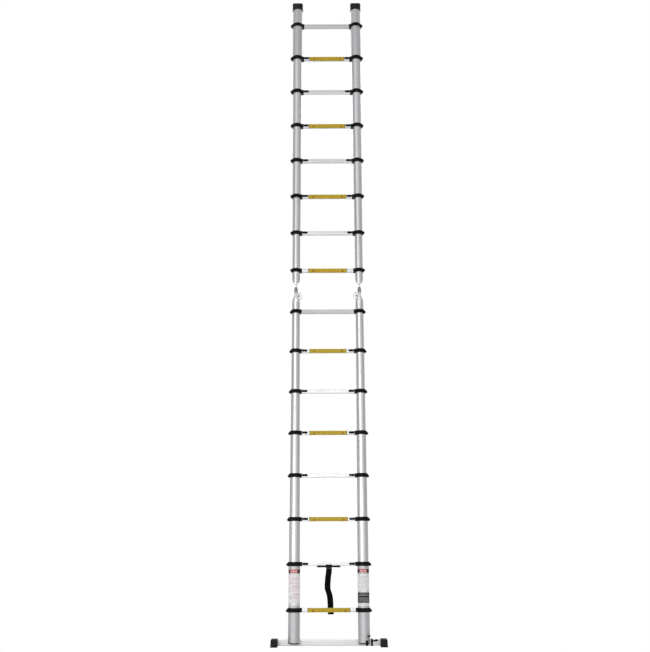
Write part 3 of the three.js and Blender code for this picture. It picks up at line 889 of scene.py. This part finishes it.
def fork_casting():
    """A sleeve in the lower tube, a shoulder over it, and two ears with the slot between them."""
    r = tube_r(8)
    plug = r - WALL - GAP
    half = TONGUE / 2 + GAP
    sleeve = prism("sleeve", circle(plug, count=ROUND), LOWER_SEAT - 40 * MM, LOWER_SEAT + 2 * MM, "z")
    shoulder = prism("shoulder", circle(r, count=ROUND), LOWER_SEAT + GAP, SHOULDER + 4 * MM, "z")
    flank = [(r + MM, LOWER_SEAT - MM), (r + MM, LOWER_SEAT + 20 * MM), (r - 2 * MM, LOWER_SEAT + 26 * MM),
             (EAR_OUT + 2 * MM, SHOULDER - 5 * MM), (EAR_OUT, SHOULDER), (EAR_OUT, SHOULDER + 5 * MM)]
    taper = prism("taper", flank + [(-x, z) for x, z in reversed(flank)], -r - MM, r + MM, "y")
    side_view = [(-21 * MM, SLOT_LOW - 4 * MM), (26 * MM, SLOT_LOW - 4 * MM)]
    side_view += about_pivot(18 * MM, -60, 150)
    side_view += by_pivot((16, -15), (-16, -19.5), (-21, -24))
    ears = prism("ears", side_view, -EAR_OUT, EAR_OUT, "x")
    slot = prism("slot", block(-half, half, -60 * MM, 90 * MM), SLOT_LOW, PIVOT_Z + 60 * MM, "z")
    lock_hole = prism("lock_hole", circle(5 * MM, 0, LOCK_Z), -EAR_OUT - MM, -half + MM, "x")
    fork = combined(combined(shoulder, "INTERSECT", taper), "UNION", ears)
    fork = softened(combined(fork, "DIFFERENCE", slot, lock_hole), 1.2 * MM, 3)
    return combined(fork, "UNION", sleeve)


def knuckle_casting():
    """The insert in the upper tube, with its slanted end, and the web and knuckle under it."""
    r = tube_r(9)
    plug = r - WALL - GAP
    top = UPPER_CUT + CUT_RISE + 26 * MM
    insert = prism("insert", circle(plug, count=ROUND), UPPER_CUT + 2 * MM, top, "z")
    slant = prism("slant", [(-r, UPPER_CUT + 9 * MM), (r, UPPER_CUT + CUT_RISE + 9 * MM), (r, top + MM),
                            (-r, top + MM)], -r - MM, r + MM, "x")
    web = by_pivot((-14, 20), (18, 16)) + [(23 * MM, top - 10 * MM), (-14 * MM, top - 10 * MM)]
    web = prism("web", web, -NECK / 2, NECK / 2, "x")
    side_view = [(-20 * MM, SLOT_LOW + 0.5 * MM), (16 * MM, SLOT_LOW + 0.5 * MM)]
    side_view += about_pivot(17 * MM, -90, 60)
    side_view += by_pivot((18, 20), (-14, 20), (-15, -12), (-20, -21))
    knuckle = prism("knuckle", side_view, -TONGUE / 2, TONGUE / 2, "x")
    bore = prism("bore", circle(6.3 * MM, PIVOT_BACK, PIVOT_Z), -TONGUE, TONGUE, "x")
    arm = softened(combined(combined(knuckle, "UNION", web), "DIFFERENCE", bore), 1.2 * MM, 3)
    return combined(combined(insert, "INTERSECT", slant), "UNION", arm)


def buffer_block():
    """The block round the web, just above the fork, darkened with painted shade: it tapers upwards and is
    hollow for the web.
    """
    outline = by_pivot((-13.5, -11), (13.5, -11), (13.5, 4), (9, 28), (-9, 28), (-13.5, 4))
    outer = softened(prism("buffer", outline, -16 * MM, 14 * MM, "y"), 1.5 * MM, 3)
    tongue, neck = TONGUE / 2 + 0.1 * MM, NECK / 2 + 0.1 * MM
    low, top = PIVOT_Z - 12 * MM, PIVOT_Z + 29 * MM
    return combined(outer, "DIFFERENCE",
                    prism("hollow", block(-tongue, tongue, -15 * MM, 15 * MM), low, PIVOT_Z + 20.1 * MM, "z"),
                    prism("hollow", block(-neck, neck, -14.1 * MM, 15 * MM), PIVOT_Z, top, "z"))


def hinge_pin():
    """The riveted pivot pin: a plain shaft with a domed head at each end."""
    reach, head = EAR_OUT + 0.1 * MM, 2.8 * MM
    shaft, edge = 6 * MM, 4 * MM
    dome = [(reach + head * s, shaft + edge * c) for c, s in arc_points(0, 0, 1, 15, 90, 5)]
    line = [(reach, shaft + edge)] + dome + [(reach + head, 0.4 * MM)]
    line = [(-x, q) for x, q in reversed(line)] + [(-reach, shaft), (reach, shaft)] + line
    return along_x("pin", line, PIVOT_BACK, PIVOT_Z)


def lock_knob():
    """The spring lock's pin with its waisted knob, in steel darkened with painted shadow."""
    out = -EAR_OUT / MM
    line = [(-TONGUE / 2 / MM - 0.7, 4.5), (out - 0.6, 4.5), (out - 0.7, 6.2), (out - 1.6, 6.5),
            (out - 4.5, 6.3), (out - 6.0, 4.6), (out - 9.0, 4.6), (out - 9.8, 6.2), (out - 10.1, 6.2)]
    return along_x("knob", [(x * MM, q * MM) for x, q in line], 0, LOCK_Z)


def pull_ring():
    """The D ring on the knob's end."""
    back = -EAR_OUT - 12 * MM
    high, deep = 28 * MM, 15.5 * MM
    hoop = [(back - deep * c, 0, LOCK_Z + high * s) for c, s in arc_points(0, 0, 1, -90, 90, 30)]
    straight = [(back, 0, LOCK_Z + high * (1 - t / 8)) for t in range(1, 16)]
    return wire_loop("ring", hoop + straight, 1.7 * MM)


def hinges():
    pieces = {
        "fork_casting": (fork_casting(), "section_8", CASTING, "hinge", "lower_hinge"),
        "hinge_pin": (hinge_pin(), "section_8", PLATED, "steel", "lower_hinge"),
        "knuckle_casting": (knuckle_casting(), "section_9", CASTING, "hinge", "upper_hinge"),
        # The buffer block's dark casting is painted shade.
        "buffer_block": (buffer_block(), "section_9", SHADED_CASTING, "hinge_dark", "upper_hinge"),
        # The lock knob's darkened steel is painted shadow.
        "lock_knob": (lock_knob(), "hinge_lock", SHADED_PLATED, "steel", "hinge_lock"),
        "pull_ring": (pull_ring(), "hinge_lock", PLATED, "steel", "hinge_lock"),
    }
    for name, (shape, body, material, slot, node) in pieces.items():
        for side in SIDES:
            placed = finished(copied(shape, f"{name}_{side}", side, RAIL_X, RAIL_Y))
            rides_on = f"{body}_{side}" if body == "hinge_lock" else body
            fit(placed, rides_on, material, slot, f"{node}_{side}")
        discard(shape)


# ---- caps, plugs, stabiliser bar ----
# A cap's outer rings in mm: the height, how far in from the full width, and how square the ring is.
CAP_LEVELS = [(0, 1.0, 0), (0.4, 0.3, 0), (1.2, 0, 0), (14, 0, 0), (14.8, 0.3, 0), (15.6, 1.3, 0),
              (18, 1.3, 0), (18.8, 0.3, 0), (19.6, 0, 0), (31, 0, 0), (33, 1.1, 0.35), (34.5, 1.4, 0.7),
              (36, 0.9, 1), (50, 0.9, 1), (51.5, 1.2, 1), (52.8, 2.1, 1), (53.6, 3.3, 1), (54, 5.0, 1)]


def cap(side):
    """A rubber cap: round and grooved at the tube, and growing squarer into a pad at the top."""
    low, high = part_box("top_cap_right")
    turns = circle(1, count=96)
    inner = END_R + 0.1 * MM
    rings = [[(inner * c, inner * s, z) for c, s in turns] for z in (high[2] - CAP_ROOF, low[2])]
    for h, inset, square in CAP_LEVELS:
        half = (high[0] - low[0]) / 2 - inset * MM
        pad = rounded_block(-half, half, -half, half, 15 * MM, 8)
        reaches = [half + square * (ray_exit(c, s, pad) - half) for c, s in turns]
        rings.append([(q * c, q * s, low[2] + h * MM) for q, (c, s) in zip(reaches, turns)])
    made = moved(skin(f"rubber_cap_{side}", rings), RAIL_X * SIDES[side], RAIL_Y)
    fit(made, "top", CAP_RUBBER, "cap_rubber", f"top_cap_{side}")


def end_plug(side):
    """The black plug that closes a base tube's lower end, with a thin rim under the wall."""
    r = END_R
    line = [(0.4 * MM, BASE_FOOT - 4 * MM), (r - 1.2 * MM, BASE_FOOT - 4 * MM), (r, BASE_FOOT - 2.8 * MM),
            (r, BASE_FOOT - 0.1 * MM), (r - WALL - GAP, BASE_FOOT - 0.1 * MM),
            (r - WALL - GAP, BASE_FOOT + 14 * MM), (0.4 * MM, BASE_FOOT + 14 * MM)]
    made = lathe(f"end_plug_{side}", line, RAIL_X * SIDES[side], RAIL_Y)
    fit(made, "base", CLAMP_NYLON, "clamp")


BAR_LOW, BAR_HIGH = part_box("stabiliser_bar")


def bar_outline(margin, corner=3 * MM):
    return rounded_block(BAR_LOW[1] - margin, BAR_HIGH[1] + margin,
                         BAR_LOW[2] - margin, BAR_HIGH[2] + margin, corner)


def stabiliser():
    """The hollow bar, with two shallow notched grooves along its front."""
    x, y = BAR_HIGH[0], BAR_LOW[1]
    notch = [(-1, -2.5), (0, -2.5), (1.3, 1), (1.3, 2), (0, 2.5), (-1, 2.5)]
    cutters = [prism("hollow", bar_outline(-2 * MM, 1.2 * MM), -x - MM, x + MM, "x")]
    for z in (BAR_LOW[2] + 11 * MM, BAR_LOW[2] + 28 * MM):
        outline = [(y + a * MM, z + b * MM) for a, b in notch]
        cutters.append(prism("groove", outline, -x - MM, x + MM, "x"))
    made = combined(prism("bar_extrusion", bar_outline(0), -x, x, "x"), "DIFFERENCE", *cutters)
    fit(finished(made, 17), "base", BAR_METAL, "bar", "stabiliser_bar")


def bar_foot(side):
    """A deep rubber foot with ribs on its front and ends, flared a little towards the ground."""
    low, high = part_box("bar_foot_right")
    x0, x1, y0, y1, top = low[0] + MM, high[0], low[1], high[1], high[2]
    face = prism("face", [(x0 - MM, 0), (x1, 0), (x1 - MM, 6 * MM), (x1 - 3 * MM, top - 3 * MM),
                          (x1 - 5 * MM, top), (x0 + 3 * MM, top), (x0, top - 3 * MM), (x0 - MM, 6 * MM)],
                 y0, y1, "y")
    face = softened(face, 2.2 * MM, 3, 20)
    past = 9 * MM
    cuts = []
    for z in (9, 17, 25, 33, 41):
        zs = (z * MM, (z + 3.6) * MM)
        for edge in (y0, y1):
            rib = block(edge - 1.4 * MM, edge + 1.4 * MM, *zs)
            cuts.append(prism("rib", rib, x0 - past, x1 + past, "x"))
        cuts.append(prism("rib", block(y0 - MM, y1 + MM, *zs), x1 - 3.4 * MM, x1 + past, "x"))
    pocket = prism("pocket", bar_outline(GAP), x0 - past, BAR_HIGH[0] + GAP, "x")
    made = combined(face, "DIFFERENCE", pocket, *cuts)
    placed = copied(made, f"rubber_foot_{side}", side)
    discard(made)
    fit(finished(placed, 25), "base", FOOT_RUBBER, "foot_rubber", f"bar_foot_{side}")


CLAMP_LOW, CLAMP_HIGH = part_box("bar_clamp")
CLAMP_X = (CLAMP_LOW[0] + CLAMP_HIGH[0]) / 2
LEVER_Z = 35 * MM  # the lever's pivot


def clamp_band():
    """The band round the bar, with the stub that the lever turns on."""
    front = BAR_LOW[1] - 3 * MM
    band = prism("clamp_band", bar_outline(3 * MM, 4 * MM), CLAMP_LOW[0], CLAMP_HIGH[0], "x")
    inner = prism("inner", bar_outline(GAP), CLAMP_LOW[0] - MM, CLAMP_HIGH[0] + MM, "x")
    band = softened(combined(band, "DIFFERENCE", inner), 0.8 * MM, 2, 50)
    stub = prism("stub", circle(3 * MM, CLAMP_X, LEVER_Z), front - 8 * MM, front + MM, "y")
    fit(combined(band, "UNION", stub), "base", CLAMP_NYLON, "clamp", "bar_clamp")


def lock_lever():
    """The lever: a round boss on the stub, a waist, and a thicker paddle."""
    low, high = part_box("clamp_lever")
    tip = high[0]
    outline = arc_points(CLAMP_X, LEVER_Z, 5.2 * MM, 100, 280, 10)
    outline += [(CLAMP_X + 17 * MM, LEVER_Z - 2.5 * MM), (tip - 12 * MM, LEVER_Z - 0.5 * MM)]
    outline += arc_points(tip - 5.6 * MM, LEVER_Z + 5.5 * MM, 5.5 * MM, -70, 100, 8)
    outline += [(tip - 16 * MM, LEVER_Z + 10 * MM), (CLAMP_X + 15 * MM, LEVER_Z + 5 * MM)]
    lever = softened(prism("lock_lever", outline, low[1], high[1], "y"), 1.1 * MM, 3)
    hole = prism("hole", circle(3.3 * MM, CLAMP_X, LEVER_Z), low[1] - MM, high[1] + MM, "y")
    fit(combined(lever, "DIFFERENCE", hole), "clamp_lever", CLAMP_NYLON, "clamp", "clamp_lever")


def rail_clip():
    """The clip round the front of the right rail's foot."""
    low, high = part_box("rail_clip")
    shell = lathe("rail_foot_clip", block(END_R + GAP, END_R + 3 * MM, low[2], high[2]), RAIL_X, RAIL_Y, 96)
    window = prism("window", block(low[0], high[0], RAIL_Y - 60 * MM, RAIL_Y), 0, 0.1, "z")
    clip = softened(combined(shell, "INTERSECT", window), 0.8 * MM, 2, 40)
    fit(clip, "base", CLAMP_NYLON, "clamp", "rail_clip")


def rail_lug():
    """The small lug on the front of the right rail, with its end turned up."""
    side_view = [(20, 63.5), (28, 63.5), (42, 70), (42, 76), (37, 76), (20, 66.5)]
    outline = [(RAIL_X + a * MM, b * MM) for a, b in side_view]
    lug = prism("rail_lug", outline, RAIL_Y - 40 * MM, RAIL_Y - 14 * MM, "y")
    fit(softened(lug, 0.8 * MM, 2), "base", CLAMP_NYLON, "clamp")


# ---- strap ----
def smooth_route(points, steps=8):
    """A Catmull-Rom curve through the points."""
    route = []
    for i, (a, b) in enumerate(zip(points, points[1:])):
        start = (b - points[max(i - 1, 0)]) / 2
        end = (points[min(i + 2, len(points) - 1)] - a) / 2
        for t in (step / steps for step in range(steps)):
            route.append((2 * t**3 - 3 * t**2 + 1) * a + (t**3 - 2 * t**2 + t) * start
                         + (-2 * t**3 + 3 * t**2) * b + (t**3 - t**2) * end)
    return route + [points[-1]]


def strap():
    """Webbing from behind rung 1 to the handle in front of rung 2, on the CAD ribbon's stations."""
    low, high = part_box("strap")
    rear = RUNG_DEEP / 2 / MM + 1.6
    # Each station's z in metres, then x, and y from the rails' plane, both in mm.
    stations = [(low[2], 13, rear), (0.232, 12, rear), (0.257, 11, rear), (0.289, 10, 11), (0.326, 6, 6),
                (0.350, -1, 2), (0.372, -8, -1), (0.400, -8.5, -6), (0.444, -5, -12), (0.480, 0, -17),
                (high[2], 2, -20)]
    route = smooth_route([Vector((x * MM, y * MM + RAIL_Y, z)) for z, x, y in stations])
    half, thick = 20 * MM, 0.9 * MM
    section = [(-1, -0.35), (-0.97, -0.9)]
    section += [(-0.9 + 0.2 * i, -1) for i in range(10)]
    section += [(0.97, -0.9), (1, -0.35)]
    section += [(-u, -v) for u, v in section]
    across = Vector((1, 0, 0))
    rings = []
    lengths = [0.0]
    for i, p in enumerate(route):
        along = (route[min(i + 1, len(route) - 1)] - route[max(i - 1, 0)]).normalized()
        out = across.cross(along).normalized()
        rings.append([p + across * u * half + out * v * thick for u, v in section])
        if i:
            lengths.append(lengths[-1] + (p - route[i - 1]).length)
    made = skin("strap_webbing", rings)

    def station(p):
        return min(range(len(route)), key=lambda i: abs(route[i].z - p.z))

    mapped(made, lambda p: (p.x - route[station(p)].x) / (2 * half) + 0.5, lambda p: lengths[station(p)])
    fit(made, "base", WEBBING, "webbing", "strap")


def strap_handle():
    """The T-bar: a moulded rod with rounded ends and a waisted centre block."""
    low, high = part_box("strap_handle")
    half = high[0]
    line = [(-half, 2.0), (-half + 0.8 * MM, 4.2), (-half + 2.4 * MM, 6.1), (-half + 5 * MM, 6.9),
            (-half + 12 * MM, 6.8), (-30 * MM, 6.0), (-21 * MM, 6.4)]
    line += [(-x, q) for x, q in reversed(line)]
    rod = along_x("strap_t_bar", [(x, q * MM) for x, q in line], high[1] - 7 * MM, 0.519)
    centre = prism("grip_block", block(-21 * MM, 21 * MM, low[2], high[2]), low[1], high[1], "y")
    made = combined(rod, "UNION", softened(centre, 2.5 * MM, 4))
    fit(made, "base", HANDLE_PLASTIC, "handle", "strap_handle")


# ---- build ----
yellow = yellow_print()
for side in SIDES:
    for n in RUNGS:
        if n not in (2, 15):
            tube(n, side)
        collar(n, side)
    cap(side)
    end_plug(side)
    bar_foot(side)
for n in RUNGS:
    rung(n)
for n in LABELLED:
    rung_label(n, yellow)
hinges()
latches()
rail_labels()
stabiliser()
clamp_band()
lock_lever()
rail_clip()
rail_lug()
strap()
strap_handle()


# ---- floor and light ----
def seen_and_lit(tree, seen, lit):
    """One shader where the camera looks straight at it, and another for light and reflections."""
    path = tree.nodes.new("ShaderNodeLightPath")
    either = tree.nodes.new("ShaderNodeMixShader")
    tree.links.new(path.outputs["Is Camera Ray"], either.inputs[0])
    tree.links.new(lit.outputs[0], either.inputs[1])
    tree.links.new(seen.outputs[0], either.inputs[2])
    return either.outputs[0]


def floor():
    half = 40.0
    mesh = bpy.data.meshes.new("floor")
    mesh.from_pydata([(x, y, 0) for x, y in block(-half, half, -half, half)], [], [(0, 1, 2, 3)])
    obj = linked("floor", mesh)
    n = Nodes("floor_paper", (0.86, 0.86, 0.86), roughness=0.9)
    n.roughness(n.spread(n.noise(3.0), 0.85, 0.95))
    glow = n.add("ShaderNodeEmission")
    glow.inputs["Color"].default_value = (1, 1, 1, 1)
    n.link(seen_and_lit(n.tree, glow, n.shader), n.tree.nodes["Material Output"].inputs["Surface"])
    obj.data.materials.append(n.material)


def softbox(name, location, target, width, height, radiance):
    light = bpy.data.lights.new(name, "AREA")
    light.shape = "RECTANGLE"
    light.size = width
    light.size_y = height
    light.energy = radiance * math.pi * width * height
    obj = linked(name, light)
    obj.location = location
    obj.rotation_euler = (Vector(target) - Vector(location)).to_track_quat("-Z", "Y").to_euler()


def room():
    world = bpy.data.worlds.new("studio")
    bpy.context.scene.world = world
    world.use_nodes = True
    tree = world.node_tree
    seen = tree.nodes.new("ShaderNodeBackground")
    seen.inputs["Color"].default_value = (1, 1, 1, 1)
    lit = tree.nodes["Background"]
    lit.inputs["Color"].default_value = (0.50, 0.50, 0.505, 1)
    tree.links.new(seen_and_lit(tree, seen, lit), tree.nodes["World Output"].inputs["Surface"])


floor()
room()
softbox("key_low", (-2.5, -7.5, 2.8), (0, 0, 2.8), 6.4, 5.4, 1.52)
softbox("key_high", (-2.6, -7.5, 8.2), (0, 0, 5.0), 9.0, 5.2, 0.24)
softbox("strip_low", (-1.4, -7.5, 1.1), (0, 0, 1.1), 8.5, 1.9, 0.62)
softbox("strip_left", (-8.5, -6, 1.0), (0, 0, 0.9), 8, 0.9, 1.2)
softbox("key_mid", (-3.4, -7.5, 8.3), (0, 0, 4.6), 6.5, 2.4, 0.30)
softbox("side_high", (4.2, -6.5, 8.0), (0, 0, 4.4), 4.5, 4.0, 0.15)
softbox("side_low", (4.2, -6.5, 2.6), (0, 0, 2.6), 4.5, 5.2, 0.35)
softbox("overhead", (0, 2.2, 7.0), (0, -1.0, 0), 5, 5, 2.6)
softbox("floor_bounce", (0, 7.0, 0.05), (0, 6.0, 5.0), 7.0, 4.0, 1.05)
bpy.context.scene.view_settings.view_transform = "Standard"
